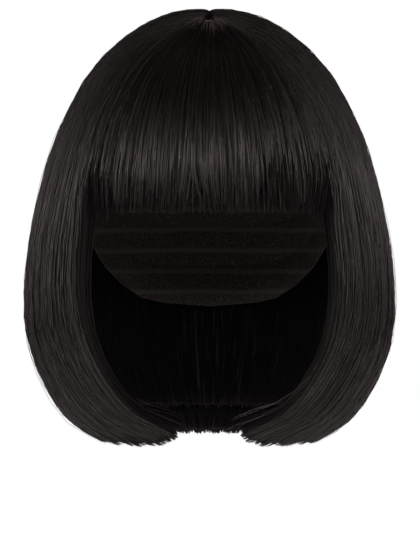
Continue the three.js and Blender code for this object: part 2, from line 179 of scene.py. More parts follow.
def lookup(x, y, at):
    """Reads a curve through the points (x, y) that doesn't overshoot, for an array of places."""
    at = np.clip(at, x[0], x[-1])
    chord = np.diff(y) / np.diff(x)
    slope = np.zeros_like(y)
    slope[0], slope[-1] = chord[0], chord[-1]
    before, after = chord[:-1], chord[1:]
    both = before * after
    total = np.where(before + after == 0, 1, before + after)
    slope[1:-1] = np.where(both <= 0, 0, 2 * both / total)
    i = np.clip(np.searchsorted(x, at, side="right") - 1, 0, len(x) - 2)
    step = x[i + 1] - x[i]
    s = (at - x[i]) / step
    bend = s * s * (3 - 2 * s)
    rise = slope[i] * step * s * (1 - s) ** 2
    fall = slope[i + 1] * step * s * s * (1 - s)
    return y[i] + (y[i + 1] - y[i]) * bend + rise - fall


def section(name, depth):
    """A column of the sections. Its curve runs over the root of the depth, so that the crown is round."""
    return lookup(np.sqrt(SECTIONS[:, 0]), SECTIONS[:, COLUMN[name]], np.sqrt(np.maximum(depth, 0)))


def unit(v):
    return v / np.maximum(np.linalg.norm(v, axis=-1, keepdims=True), 1e-9)


def head_value(p, margin):
    """Below 1 inside the head, grown by a margin, and above 1 outside it."""
    below = np.maximum(0, -p[..., 2] - HEAD_CROWN) / HEAD_NAPE
    front = HEAD_FRONT * (1 - NAPE_TAPER["front"] * below**2)
    back = HEAD_BACK * (1 - NAPE_TAPER["back"] * below**2)
    length = np.where(p[..., 1] < 0, front, back) + margin
    width = HEAD_HALF_WIDTH * (1 - NAPE_TAPER["side"] * below**2) + margin
    up = np.maximum(0, p[..., 2] + HEAD_CROWN) / (HEAD_CROWN + margin)
    return np.sqrt((p[..., 0] / width) ** 2 + (p[..., 1] / length) ** 2 + up**2)


def head_outward(p, step=0.5):
    axes = np.eye(3) * step
    return unit(np.stack([head_value(p + a, 0) - head_value(p - a, 0) for a in axes], -1))


def way_to_head(p, inward, margin, halvings=30):
    """How far each place lies from the head along its inward direction, and a very long way if it misses it."""
    reach = SIDE_VOLUME + HAIR_WALL
    near = np.full(p.shape[:-1], -float(reach))
    far = np.full(p.shape[:-1], float(reach))
    misses = (head_value(p + inward * reach, margin) > 1) | (p[..., 2] < -HEAD_CROWN - HEAD_NAPE)
    for _ in range(halvings):
        middle = (near + far) / 2
        outside = head_value(p + inward * middle[..., None], margin) > 1
        near = np.where(outside, middle, near)
        far = np.where(outside, far, middle)
    return np.where(misses, 1e6, (near + far) / 2)


def outside_point(angle, depth):
    """Places on the hair's outside. Angle 0 is in front, and positive angles are on the picture's right."""
    turn = angle * RADIANS
    front = REACH_FRONT * section("front", depth)
    back = REACH_BACK * section("back", depth)
    reach = np.where(np.cos(turn) > 0, front, back)
    side = REACH_SIDE * section("side", depth)
    return np.stack([side * np.sin(turn), -reach * np.cos(turn), CROWN_VOLUME - HAIR_HEIGHT * depth], -1)


def depth_over(x, y, halvings=34):
    """The depth share at which the hair's outside lies over each place of the crown."""
    high = np.zeros_like(x)
    low = np.full_like(x, SPREAD_LEVEL * 1.2)
    for _ in range(halvings):
        middle = (high + low) / 2
        side = REACH_SIDE * section("side", middle)
        length = np.where(y < 0, REACH_FRONT * section("front", middle), REACH_BACK * section("back", middle))
        out = (x / side) ** 2 + (y / length) ** 2 > 1
        high = np.where(out, middle, high)
        low = np.where(out, low, middle)
    return (high + low) / 2


def root_of(angle):
    """Where on the edge of the parting the hair of an angle starts, seen from above."""
    side = np.where(angle < 0, -1.0, 1.0)
    size = np.abs(angle)
    margin = PARTING_HALF_WIDTH + SEAT_GAP
    front = -(PARTING_FRONT - PARTING_HALF_WIDTH)
    back = PARTING_BACK - PARTING_HALF_WIDTH
    along = (size - FRINGE_EDGE) / (BACK_EDGE - FRINGE_EDGE)
    turn = np.where(along < 0, 90 * size / FRINGE_EDGE, 90.0)
    turn = np.where(along > 1, 90 + 90 * (size - BACK_EDGE) / (180 - BACK_EDGE), turn) * RADIANS
    y = front + (back - front) * np.clip(along, 0, 1)
    lift = 1 + (CROWN_VOLUME - HAIR_SEAT) / HEAD_CROWN
    return np.stack([side * margin * np.sin(turn), y - margin * np.cos(turn)], -1) * lift


def lock_lines(angle, end_depth, dome_steps=40, fall_steps=60):
    """Points of the lines that the hair's outside follows, for an array of angles, and their depth shares."""
    root = root_of(angle)
    spread = outside_point(angle, np.full_like(angle, SPREAD_LEVEL))
    points, depths = [], []
    for i in range(dome_steps):
        share = math.sin(i / dome_steps * math.pi / 2)
        xy = root + (spread[:, :2] - root) * share
        depth = depth_over(xy[:, 0], xy[:, 1])
        points.append(np.concatenate([xy, (CROWN_VOLUME - HAIR_HEIGHT * depth)[:, None]], 1))
        depths.append(depth)
    for i in range(fall_steps + 1):
        depth = SPREAD_LEVEL + (end_depth - SPREAD_LEVEL) * i / fall_steps
        front_share = 1 - smooth((np.abs(angle) - FRINGE_EDGE) / (100 - FRINGE_EDGE))
        swept = angle - np.sign(angle) * FRONT_SWEEP * section("sweep", depth) * front_share
        points.append(outside_point(swept, depth))
        depths.append(depth)
    return np.stack(points, 1), np.stack(depths, 1)


def lock_full(angle, start, end):
    """For each angle, 0 at the sides of a lock and 1 at its middle, and the lock's number. Widths differ."""
    span = abs(end - start) * RADIANS * REACH_BACK
    count = max(3, round(span / LOCK_WIDTH))
    i = np.arange(count)
    widths = 1 + 0.28 * np.sin(2.3 * i + 1) * np.cos(1.1 * i)
    edges = np.concatenate([[0], np.cumsum(widths)]) / widths.sum()
    share = np.clip((angle - start) / (end - start), 0, 0.999999)
    k = np.searchsorted(edges, share, side="right") - 1
    across = (share - edges[k]) / (edges[k + 1] - edges[k])
    return np.sin(np.pi * across) ** 0.7, k


class Wall:
    """One section of hair as a sheet of lines, with its outer and inner surface.

    Places on it are an angle, the length run from the root, and a layer: 0 is the outer surface, 1 the inner one.
    It takes the angles that it spans, the depth shares at which it ends and starts for each angle, its thickness,
    how far it lies under the outside, its edges that hang free, how far its lines go on past its end, and how far
    toward its outer surface its tips thin out."""

    STEP = 0.5
    SAMPLES = 120

    def __init__(self, start, end, end_depth, wall, under=0.0, free_edges=(), start_depth=None, extra=12.0,
                 tip_centre=0.5):
        self.start, self.end, self.free_edges = start, end, free_edges
        count = int(round((end - start) / self.STEP)) + 1
        self.angles = np.linspace(start, end, count)
        self.step = self.angles[1] - self.angles[0]
        full, lock = lock_full(self.angles, start, end)
        stagger = LOCK_STAGGER / HAIR_HEIGHT * (full - 0.5) * (0.7 + 0.5 * np.sin(1.7 * lock))
        last = end_depth(self.angles) + stagger * STAGGER_SHARE
        points, depths = lock_lines(self.angles, last)
        tail = unit(points[:, -1] - points[:, -2])
        points = np.concatenate([points, (points[:, -1] + tail * extra)[:, None]], 1)
        depths = np.concatenate([depths, depths[:, -1:]], 1)
        steps = np.linalg.norm(np.diff(points, axis=1), axis=2)
        run = np.concatenate([np.zeros((count, 1)), np.cumsum(steps, 1)], 1)
        self.total = run[:, -1]
        self.length = run[:, -2]
        self.first = np.zeros(count)
        if start_depth is not None:
            top = start_depth(self.angles)
            self.first = np.array([np.interp(t, d, r) for t, d, r in zip(top, depths[:, :-1], run[:, :-1])])
        share = np.linspace(0, 1, self.SAMPLES)
        place = np.empty((count, self.SAMPLES, 3))
        depth = np.empty((count, self.SAMPLES))
        for i in range(count):
            at = share * self.total[i]
            depth[i] = np.interp(at, run[i], depths[i])
            for axis in range(3):
                place[i, :, axis] = np.interp(at, run[i], points[i, :, axis])
        self.run = share[None] * self.total[:, None]
        down = np.gradient(place, axis=1)
        across = np.gradient(place, axis=0)
        outward = unit(np.cross(down, across))
        dome = 1 - smooth((depth - DOME_LEVEL) / DOME_FADE)
        outward = unit(outward + (head_outward(place) - outward) * dome[..., None])
        place = place - outward * under
        away = way_to_head(place, -outward, HAIR_SEAT)
        push = np.maximum(0, LEAST_WALL - away)
        place = place + outward * push[..., None]
        whole = np.minimum(np.maximum(away, LEAST_WALL), wall * section("wall", depth))
        thickness = whole.copy()
        if start_depth is None:
            thickness *= ROOT_SHARE + (1 - ROOT_SHARE) * smooth(self.run / ROOT_RISE)
        tip = smooth((self.length[:, None] - self.run) / TIP_LENGTH)
        tip_share = TIP_SHARE + (1 - TIP_SHARE) * tip
        edge = np.full(count, float(LOCK_WIDTH))
        for e in free_edges:
            edge = np.minimum(edge, np.abs(self.angles - e) * RADIANS * REACH_SIDE)
        free = smooth((depth - FRINGE_LEVEL + 0.05) / 0.08)
        edge_share = 1 - (1 - EDGE_SHARE) * free * (1 - smooth(edge / LOCK_WIDTH))[:, None]
        relief = LOCK_RELIEF * (full[:, None] - RELIEF_MIDDLE) * smooth(self.run / RELIEF_RISE) * edge_share
        thickness = np.maximum(thickness * tip_share * edge_share + relief, LEAST_WALL * TIP_SHARE)
        middle = (1 - tip_share) * tip_centre * wall
        self.place = place
        self.outward = outward
        self.inner = middle - whole
        self.outer = self.inner + thickness
        self.depth = depth

    def _read(self, grid, angle, share):
        """Values of a grid between its places, for angles and shares of the whole length."""
        a = np.clip((angle - self.start) / self.step, 0, len(self.angles) - 1.001)
        k = np.clip(share * (self.SAMPLES - 1), 0, self.SAMPLES - 1.001)
        ia, ik = a.astype(int), k.astype(int)
        across, along = a - ia, k - ik
        if grid.ndim == 3:
            across, along = across[..., None], along[..., None]
        low = grid[ia, ik] * (1 - along) + grid[ia, ik + 1] * along
        high = grid[ia + 1, ik] * (1 - along) + grid[ia + 1, ik + 1] * along
        return low * (1 - across) + high * across

    def of_angle(self, values, angle):
        return np.interp(angle, self.angles, values)

    def points(self, angle, run, layer):
        """Places and outward directions, for arrays of one shape."""
        share = run / self.of_angle(self.total, angle)
        place = self._read(self.place, angle, share)
        outward = unit(self._read(self.outward, angle, share))
        outer = self._read(self.outer, angle, share)
        inner = self._read(self.inner, angle, share)
        return place + outward * (outer + (inner - outer) * layer)[..., None], outward


def fringe_end(angle):
    return np.full_like(angle, FRINGE_LEVEL)


def curtain_end(angle):
    """Depth share at which the side and back hair ends. It ends higher beside the face."""
    lift = EDGE_LIFT * np.maximum(0, 1 - (np.abs(angle) - FRINGE_EDGE) / EDGE_LIFT_SPAN) ** 2
    return 1 - lift - LOCK_STAGGER / HAIR_HEIGHT / 2


def nape_level(column):
    """Depth share at which the inner layer starts (column 1) or ends (column 2)."""
    def level(angle):
        around = np.minimum(np.abs(angle), 360 - np.abs(angle))
        return lookup(NAPE_LEVELS[:, 0], NAPE_LEVELS[:, column], around)

    return level


def notch_push(x, drop):
    """Sideways shift that opens the gap in the fringe, for places at x, drop millimetres above the cut."""
    open_share = np.clip(1 - drop / NOTCH_RISE, 0, 1.1) ** 1.2
    away = x - NOTCH_MIDDLE
    reach, move = np.where(away < 0, NOTCH_REACH[0], NOTCH_REACH[1]), np.where(away < 0, *NOTCH_MOVE)
    return move * open_share * np.clip(1 - np.abs(away) / reach, 0, 1)


# Meshes


def make_object(name, vertices, faces_flat, loops_per_face, uv, materials, kind=None):
    """A mesh object from arrays. All faces have one number of corners, and kind picks each one's material."""
    mesh = bpy.data.meshes.new(name)
    corner_count = len(faces_flat)
    face_count = corner_count // loops_per_face
    mesh.vertices.add(len(vertices))
    mesh.vertices.foreach_set("co", (vertices * MM).astype(np.float32).ravel())
    mesh.loops.add(corner_count)
    mesh.loops.foreach_set("vertex_index", faces_flat.astype(np.int32))
    mesh.polygons.add(face_count)
    mesh.polygons.foreach_set("loop_start", np.arange(0, corner_count, loops_per_face, dtype=np.int32))
    mesh.polygons.foreach_set("use_smooth", np.ones(face_count, dtype=bool))
    layer = mesh.uv_layers.new(name="OFBake")
    layer.data.foreach_set("uv", uv[faces_flat].astype(np.float32).ravel())
    if kind is not None:
        mesh.polygons.foreach_set("material_index", kind.astype(np.int32))
    mesh.update(calc_edges=True)
    mesh.validate()
    for material in materials:
        mesh.materials.append(material)
    obj = bpy.data.objects.new(name, mesh)
    bpy.context.scene.collection.objects.link(obj)
    return obj


def strand_mesh(name, place, outward, half_width, tint, shaded_from, shaded_root, material):
    """Closed three-sided tubes along lines. place and outward are (strands, points, 3).

    half_width is (strands, points), and tint is each strand's u in the map. shaded_from is the share of its steps
    from which on it has the painted shade material, and shaded_root is the number of steps by the root that have
    it too."""
    count, n, _ = place.shape
    along = unit(np.gradient(place, axis=1))
    side = unit(np.cross(along, outward))
    up = unit(np.cross(side, along))
    w = half_width[..., None]
    low = place - up * w * BASE
    ring = np.stack([place + up * w * RIDGE, low - side * w, low + side * w], 2)
    vertices = ring.reshape(-1, 3)
    v = np.linspace(0, 1, n)[None, :, None]
    u = tint[:, None, None] + CORNER_U * np.arange(3)[None, None, :]
    uv = np.stack(np.broadcast_arrays(u, v), -1).reshape(-1, 2)
    base = (np.arange(count) * n * 3)[:, None, None]
    k = np.arange(n - 1)[None, :, None] * 3
    j = np.arange(3)[None, None, :]
    jn = (j + 1) % 3
    a, b = base + k + j, base + k + jn
    c, d = b + 3, a + 3
    quads = np.stack([a, d, c, b], -1).reshape(-1, 4)
    tris = np.concatenate([quads[:, [0, 1, 2]], quads[:, [0, 2, 3]]])
    start = (np.arange(count) * n * 3)[:, None]
    tips = start + (n - 1) * 3
    caps = np.concatenate([start + np.array([0, 1, 2]), tips + np.array([0, 2, 1])])
    faces = np.concatenate([tris, caps]).ravel()
    step = np.arange(n - 1)[None, :]
    shaded = ((step / (n - 1) >= shaded_from[:, None]) | (step < shaded_root)).repeat(3, axis=1).ravel()
    kind = np.concatenate([shaded, shaded, (shaded_from <= 0) | (shaded_root > 0), shaded_from < 1])
    return make_object(name, vertices, faces, 3, uv, [material, SHADED], kind)


def shell_mesh(name, wall, last, material, rows, skin=0.8, lining=0.6, side_inset=1.2):
    """A closed wall just inside a section's surfaces. last gives the lengths at which it ends, for angles."""
    start, end = wall.start, wall.end
    columns = int(end - start)
    inset = side_inset / (RADIANS * REACH_SIDE)
    angle = np.linspace(start + inset, end - inset, columns + 1)
    t = np.linspace(0, 1, rows + 1)
    low, high = wall.of_angle(wall.first, angle), last(angle)
    run = low[:, None] + (high - low)[:, None] * t[None]
    angles = np.broadcast_to(angle[:, None], run.shape)
    top, out = wall.points(angles, run, np.zeros_like(run))
    bottom, _ = wall.points(angles, run, np.ones_like(run))
    thick = np.linalg.norm(top - bottom, axis=-1)
    cut = np.minimum(skin, thick * 0.25)[..., None]
    rest = np.minimum(lining, thick * 0.2)[..., None]
    outer = top - out * cut
    inner = bottom + out * rest
    vertices = np.concatenate([outer.reshape(-1, 3), inner.reshape(-1, 3)])
    u = np.broadcast_to((angle[:, None] - start) / (end - start), run.shape)
    v = np.broadcast_to(t[None], run.shape)
    uv_out = np.stack([u, v * 0.49], -1).reshape(-1, 2)
    uv_in = np.stack([u, 0.51 + v * 0.49], -1).reshape(-1, 2)
    uv = np.concatenate([uv_out, uv_in])
    n = rows + 1
    size = (columns + 1) * n
    c, r = np.meshgrid(np.arange(columns), np.arange(rows), indexing="ij")
    i = (c * n + r).ravel()
    quads = [np.stack([i, i + 1, i + n + 1, i + n], -1), np.stack([i, i + n, i + n + 1, i + 1], -1) + size]
    r1 = np.arange(rows)
    right = columns * n + r1
    quads.append(np.stack([r1, r1 + size, r1 + 1 + size, r1 + 1], -1))
    quads.append(np.stack([right, right + 1, right + 1 + size, right + size], -1))
    c1 = np.arange(columns) * n
    quads.append(np.stack([c1, c1 + n, c1 + n + size, c1 + size], -1))
    c2 = c1 + rows
    quads.append(np.stack([c2, c2 + size, c2 + n + size, c2 + n], -1))
    return make_object(name, vertices, np.concatenate(quads).ravel(), 4, uv, [material])


def gather(wall, rng, count, lock_width, fixed):
    """Angles of a section's strands, and the small locks that they belong to.

    Returns the number of locks, and for each strand its angle, its lock, the lock's middle, its own place across
    the lock, from -1 to 1, and whether it hangs by itself."""
    start, end = wall.start, wall.end
    locks = max(3, int(round((end - start) * RADIANS * REACH_SIDE / lock_width)))
    edges = np.concatenate([[0], np.cumsum(0.45 + rng.random(locks))])
    edges = start + (end - start) * edges / edges[-1]
    base = start + (end - start) * rng.random(count)
    for edge in wall.free_edges:
        moved = rng.random(count) < EDGE_STRANDS
        beside = edge + (0.2 + 2.2 * rng.random(count)) * np.sign((start + end) / 2 - edge)
        base = np.where(moved, beside, base)
    base[:len(fixed)] = fixed
    member = np.clip(np.searchsorted(edges, base) - 1, 0, locks - 1)
    centre = (edges[member] + edges[member + 1]) / 2
    across = (base - centre) / (edges[member + 1] - edges[member]) * 2
    loose = rng.random(count) < LOOSE_SHARE
    loose[:len(fixed)] = True
    return locks, base, member, centre, across, loose


def pick_layers(rng, count, layers, outermost):
    """How deep each strand lies in its wall. The first strands, as many as outermost, lie at its surface."""
    layer = np.empty(count)
    order = rng.permutation(count)
    done = 0
    for share, low, high in layers:
        take = order[done:done + int(round(share * count))]
        layer[take] = low + (high - low) * rng.random(len(take))
        done += len(take)
    layer[order[done:]] = rng.random(count - done)
    layer[:outermost] = 0.12 * rng.random(outermost)
    return layer


def pick_shade(rng, base, lit, edge_shade, tip_shade):
    """The share of its length from which on each strand gets the painted shade: 0 for all of it, and 2 for none.
    """
    count = len(base)
    shaded_from = np.where(lit, 2.0, 0.0)
    if edge_shade:
        # Painted shade on lit strands near an edge, such as by the face and at the fringe's ends
        around, reach, share_from, full = edge_shade
        near = full - np.abs(np.abs(base) - around) / np.where(base < 0, reach[0], reach[1])
        by_edge = lit & (rng.random(count) < near)
        shaded_from = np.where(by_edge, share_from + 0.14 * (rng.random(count) - 0.5), shaded_from)
    # Painted shade on the tips of some lit strands
    by_tip = lit & (rng.random(count) < tip_shade)
    return np.where(by_tip, np.minimum(shaded_from, 0.82 + 0.12 * rng.random(count)), shaded_from)


def strand_set(name, wall, rng, count, points, layers, slot_nodes, lock_width=3.2, width=(0.24, 0.46),
               ragged=1.0, wave=0.35, root_reach=0.0, shape=None, pull=(0.1, 0.5), bulk=0.07, stray=0.012,
               edge_shade=None, tip_shade=0, shaded_root=0, trim=None, fixed=(), material=None):
    """Strands over one section, gathered in small locks.

    layers: (share of the strands, lowest layer, highest layer) each. width: least and greatest half width.
    ragged: how uneven the ends are. wave: how many degrees a strand sways. root_reach: how far roots go on past
    the edge of the parting. pull: how far strands move to the middle of their lock, as least and greatest share.
    bulk: how round a lock is. stray: the share of strands whose ends lift. trim: what is cut off, for angles.
    fixed: angles of the first strands, which shape, a last change of the places, treats apart.
    edge_shade: an angle, how many degrees painted shade reaches from it on the picture's left and right, from
    which share of the length on, and how many reaches away it ends. tip_shade: the share of strands whose tip is
    darkened
    as painted shade. shaded_root: how many steps by the root are darkened as painted shade."""
    locks, base, member, centre, across, loose = gather(wall, rng, count, lock_width, fixed)
    lock_pull = pull[0] + (pull[1] - pull[0]) * rng.random(locks)
    lock_length = rng.normal(0, LOCK_RAGGED * ragged, locks)
    lock_phase = rng.random((4, locks)) * 2 * np.pi
    lock_tone = rng.random(locks)
    layer = pick_layers(rng, count, layers, len(fixed))
    lit = layer < LIT_LAYER
    layer = np.where(lit & ~loose, layer + bulk * across**2, layer)
    own_phase = rng.random((3, count)) * 2 * np.pi
    own_turns = rng.random((3, count))

    def drift(share):
        """The angle of each strand, for shares of its length."""
        turns = 2 * np.pi * share
        toward = (centre - base)[:, None] * lock_pull[member][:, None] * smooth(share * 1.3 - 0.05)
        lock_turns = (0.8 + 0.5 * lock_phase[0][member] / 6.28)[:, None]
        sway = np.sin(turns * lock_turns + lock_phase[1][member][:, None])
        sway = sway + 0.5 * np.sin(turns * (1 + own_turns[0])[:, None] + own_phase[0][:, None])
        angle = base[:, None] + np.where(loose[:, None], 0, toward) + wave * sway * smooth(share * 3)
        return np.clip(angle, wall.start, wall.end)

    first = wall.of_angle(wall.first, base)
    length = wall.of_angle(wall.length, drift(np.ones((count, 1)))[:, 0])
    shorter = np.where(rng.random(count) < SHORT_SHARE, rng.random(count) * SHORT_CUT * ragged, 0)
    last = length + lock_length[member] + rng.normal(0, OWN_RAGGED * ragged, count) - shorter
    last = last - np.maximum(0, layer) * 1.5
    if trim is not None:
        last = last - trim(base, rng)

    # The lengths run at which each strand has a point: close together by the root, and closer again by the
    # curl. Each strand has its own, so that no corner lies beside the next strand's
    rooted = root_reach > 0
    head = np.array([ROOT_POINTS if rooted else [0.0]])
    if shaded_root:
        head = head * (0.2 + 0.9 * rng.random((count, 1)))
    rest = points - head.shape[1] - (1 if rooted else 0)
    step = np.arange(1, rest + 1)[None, :]
    t = (step + np.where(step < rest, rng.random((count, 1)) - 0.5, 0) * 0.9) / rest
    t = t - 0.3 * np.sin(2 * np.pi * t) / (2 * np.pi)
    begin = first[:, None] + head[:, -1:]
    tail = begin + (last[:, None] - begin) * t
    run = np.concatenate([first[:, None] + head, tail], 1)
    if rooted:
        before = root_reach * (0.65 + 0.35 * rng.random(count))
        run = np.concatenate([-before[:, None], run], 1)
    share = np.clip((run - first[:, None]) / (last - first)[:, None], 0, 1)

    turns = 2 * np.pi * share
    ripple = 0.04 * np.sin(turns * (1.5 + own_turns[1])[:, None] + own_phase[1][:, None])
    lock_turns = (1 + lock_phase[2][member] / 6.28)[:, None]
    ripple += 0.03 * np.sin(turns * lock_turns + lock_phase[3][member][:, None])
    ripple *= smooth(share * 5)
    stray_lift = np.where(rng.random(count) < stray, rng.random(count) * 0.3, 0)[:, None] * share**2
    layers_at = layer[:, None] + ripple * np.where(layer[:, None] > 0.9, -1, 1) - stray_lift
    place, outward = wall.points(drift(share), np.maximum(run, 0), np.clip(layers_at, -1.5, 1.0))
    if rooted:
        ahead = unit(place[:, 2] - place[:, 1])
        sink = ROOT_SINK * (1 - np.clip(layer, 0, 1)) * (before / root_reach) ** 1.4
        place[:, 0] -= ahead * before[:, None] + outward[:, 0] * sink[:, None]
    if shape is not None:
        place = shape(place, run, length[:, None], len(fixed))

    half = (width[0] + (width[1] - width[0]) * rng.random(count))[:, None]
    half = half * (0.6 + 0.4 * smooth((run - first[:, None]) / TAPER_LENGTH))
    half = half * (0.3 + 0.7 * smooth((last[:, None] - run) / TAPER_LENGTH))
    tint = (lock_tone[member] + rng.random(count) * np.where(loose, 1, 0.04)) % (MIXED_U - 0.01)
    shaded_from = pick_shade(rng, base, lit, edge_shade, tip_shade)
    # Strands that pass into painted shade sit in the map by the share at which it starts, and those painted in
    # shade all along sit right of UNDER_U
    tint = np.where(shaded_from > 1, tint, MIXED_U + (UNDER_U - MIXED_U) * shaded_from)
    tint = np.where(shaded_from > 0, tint, UNDER_U + (LAST_U - UNDER_U) * rng.random(count))
    obj = strand_mesh(name, place, outward, half, tint, shaded_from, shaded_root, material or HAIR)
    finish_piece(obj, slot_nodes)


def finish_piece(obj, nodes):
    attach(obj, "root")
    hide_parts(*nodes)


# Materials


def new_material(name, level, rough=None):
    """A material with its specular level and, where it is the same all over, its roughness."""
    material = bpy.data.materials.new(name)
    material.use_nodes = True
    tree = material.node_tree
    shader = tree.nodes["Principled BSDF"]
    shader.inputs["Specular IOR Level"].default_value = level
    if rough is not None:
        shader.inputs["Roughness"].default_value = rough
    return material, tree.nodes, tree.links, shader


def add_texture(nodes, links, kind, vector=None, **inputs):
    """A texture node with its named inputs set, read at a vector."""
    texture = nodes.new("ShaderNodeTex" + kind)
    for name, value in inputs.items():
        texture.inputs[name].default_value = value
    if vector is not None:
        links.new(vector, texture.inputs["Vector"])
    return texture


def add_ramp(nodes, links, source, low, high, socket):
    """Gives a socket the colours between two, each with the value at which it stands."""
    ramp = nodes.new("ShaderNodeValToRGB")
    for element, (position, colour) in zip(ramp.color_ramp.elements, (low, high)):
        element.position = position
        element.color = (*colour, 1)
    links.new(source, ramp.inputs["Fac"])
    links.new(ramp.outputs["Color"], socket)


def add_range(nodes, links, source, **inputs):
    """A value moved from one span to another."""
    span = nodes.new("ShaderNodeMapRange")
    for name, value in inputs.items():
        span.inputs[name.replace("_", " ")].default_value = value
    links.new(source, span.inputs["Value"])
    return span.outputs["Result"]


def add_bump(nodes, links, source, strength, distance, shader):
    bump = nodes.new("ShaderNodeBump")
    bump.inputs["Strength"].default_value = strength
    bump.inputs["Distance"].default_value = distance
    links.new(source, bump.inputs["Height"])
    links.new(bump.outputs["Normal"], shader.inputs["Normal"])


def hair_material(name, dark, light, rough, bump=0.0, stripes=40.0, level=0.5):
    """Near-black smooth fibre: tone and gloss vary from strand to strand, and a little along each one."""
    material, nodes, links, shader = new_material(name, level)
    uv = nodes.new("ShaderNodeUVMap")
    uv.uv_map = "OFBake"
    stretch = nodes.new("ShaderNodeVectorMath")
    stretch.operation = "MULTIPLY"
    stretch.inputs[1].default_value = (stripes, 2.5, 1.0)
    links.new(uv.outputs["UV"], stretch.inputs[0])
    texture = add_texture(nodes, links, "Noise", stretch.outputs[0], Scale=1.0, Detail=5.0, Roughness=0.8)
    noise = texture.outputs["Fac"]
    add_ramp(nodes, links, noise, (0.36, dark), (0.66, light), shader.inputs["Base Color"])
    gloss = add_range(nodes, links, noise, From_Min=0.38, From_Max=0.62, To_Min=rough[1], To_Max=rough[0])
    links.new(gloss, shader.inputs["Roughness"])
    if bump:
        add_bump(nodes, links, noise, bump, 0.0006, shader)
    return material


def net_material():
    """Dark stretch net with rows of sewn weft."""
    material, nodes, links, shader = new_material("net", 0.2, 0.85)
    place = nodes.new("ShaderNodeTexCoord").outputs["Object"]
    wefts = add_texture(nodes, links, "Wave", place, Scale=26.0, Distortion=0.6, Detail=1.0)
    wefts.wave_type = "BANDS"
    wefts.bands_direction = "Z"
    band = add_range(nodes, links, wefts.outputs["Fac"], From_Min=0.8, From_Max=0.95)
    cells = add_texture(nodes, links, "Voronoi", place, Scale=1000.0)
    cells.feature = "DISTANCE_TO_EDGE"
    thread = nodes.new("ShaderNodeMath")
    thread.operation = "LESS_THAN"
    thread.inputs[1].default_value = 0.12
    links.new(cells.outputs["Distance"], thread.inputs[0])
    raised = nodes.new("ShaderNodeMath")
    raised.operation = "MAXIMUM"
    links.new(thread.outputs[0], raised.inputs[0])
    links.new(band, raised.inputs[1])
    dark, light = (0.012, 0.0105, 0.0105), (0.085, 0.074, 0.072)
    add_ramp(nodes, links, raised.outputs[0], (0, dark), (1, light), shader.inputs["Base Color"])
    add_bump(nodes, links, raised.outputs[0], 0.6, 0.0005, shader)
    return material


def parting_material():
    """The strip under the parting: matt, dark, with the dots of knotted hair."""
    material, nodes, links, shader = new_material("skin_top", 0.5, 0.7)
    place = nodes.new("ShaderNodeTexCoord").outputs["Object"]
    dots = add_texture(nodes, links, "Voronoi", place, Scale=900.0).outputs["Distance"]
    dark, light = (0.004, 0.0035, 0.003), (0.016, 0.012, 0.01)
    add_ramp(nodes, links, dots, (0.25, dark), (0.6, light), shader.inputs["Base Color"])
    add_bump(nodes, links, dots, 0.4, 0.0003, shader)
    return material


HAIR = hair_material("hair", (0.0018, 0.0014, 0.0013), (0.0068, 0.0051, 0.0048), (0.25, 0.45))
# Short fine hairs by the parting: their base colour, lighter than the hair's, is partly their own and partly a
# painted highlight
FINE_HIGHLIGHT = hair_material("hair_fine_painted_highlight", (0.030, 0.024, 0.023), (0.115, 0.095, 0.092), (0.3, 0.5))
# Painted shade: a darker, duller copy of the hair, for strands or parts of strands that lie in shade
SHADED = hair_material("hair_painted_shade", (0.0008, 0.0007, 0.0006), (0.0028, 0.0022, 0.0021), (0.5, 0.7), level=0.14)
# The backing stands for the hair beneath the strands; its colour, darker and duller than the hair's, is painted
# shade
BACKING_SHADE = hair_material("hair_backing_painted_shade", (0.0010, 0.0008, 0.0008), (0.0035, 0.0027, 0.0026), (0.6, 0.8),
                        bump=0.5, stripes=30.0, level=0.2)

# The sections of hair

WALLS = {
    "fringe": Wall(-FRINGE_EDGE, FRINGE_EDGE, fringe_end, HAIR_WALL, extra=20.0, tip_centre=0.65),
    "side_right": Wall(FRINGE_EDGE, BACK_EDGE, curtain_end, HAIR_WALL, free_edges=(FRINGE_EDGE,)),
    "side_left": Wall(-BACK_EDGE, -FRINGE_EDGE, curtain_end, HAIR_WALL, free_edges=(-FRINGE_EDGE,)),
    "back": Wall(BACK_EDGE, 360 - BACK_EDGE, curtain_end, HAIR_WALL),
    "nape_hair": Wall(NAPE_EDGE, 360 - NAPE_EDGE, nape_level(2), NAPE_WALL, under=HAIR_WALL + NAPE_CLEARANCE,
                      start_depth=nape_level(1)),
}


def spread_evenly(count):
    """As many values between 0 and 1, with no order in them and no draw."""
    return np.arange(count) * 0.618 % 1


def fringe_gap(place, run, length, hanging):
    """Opens the gap in the fringe by parting the strands beside it, and draws its ends away from the sides.

    The first strands, as many as hanging, stay in the gap."""
    drop = length - run
    x = place[..., 0]
    low = np.clip(1 - drop / END_GAP_HEIGHT, 0, 1.1)
    drawn = END_GAP * low**1.3 * np.clip((np.abs(x) - END_GAP_START) / END_GAP_SPAN, 0, 1)
    push = notch_push(x, drop)
    push[:hanging] = 0
    moved = place.copy()
    moved[..., 0] += push - np.sign(x) * drawn
    return moved


def new_growth(place, run, length, hanging):
    """Short hairs that stand up by the root before they lie down."""
    moved = place.copy()
    height = (0.5 + 2.2 * spread_evenly(len(run)))[:, None]
    t = np.clip(run / run[:, -1:], 0, 1)
    moved[..., 2] += height * np.sin(np.pi * t**0.6) ** 0.8
    return moved


def short_cut(angle, rng):
    """What is cut off each fringe strand, to leave short hairs of 7 to 19 mm by the parting."""
    wall = WALLS["fringe"]
    return wall.of_angle(wall.length, angle) - 7 - 12 * rng.random(len(angle))


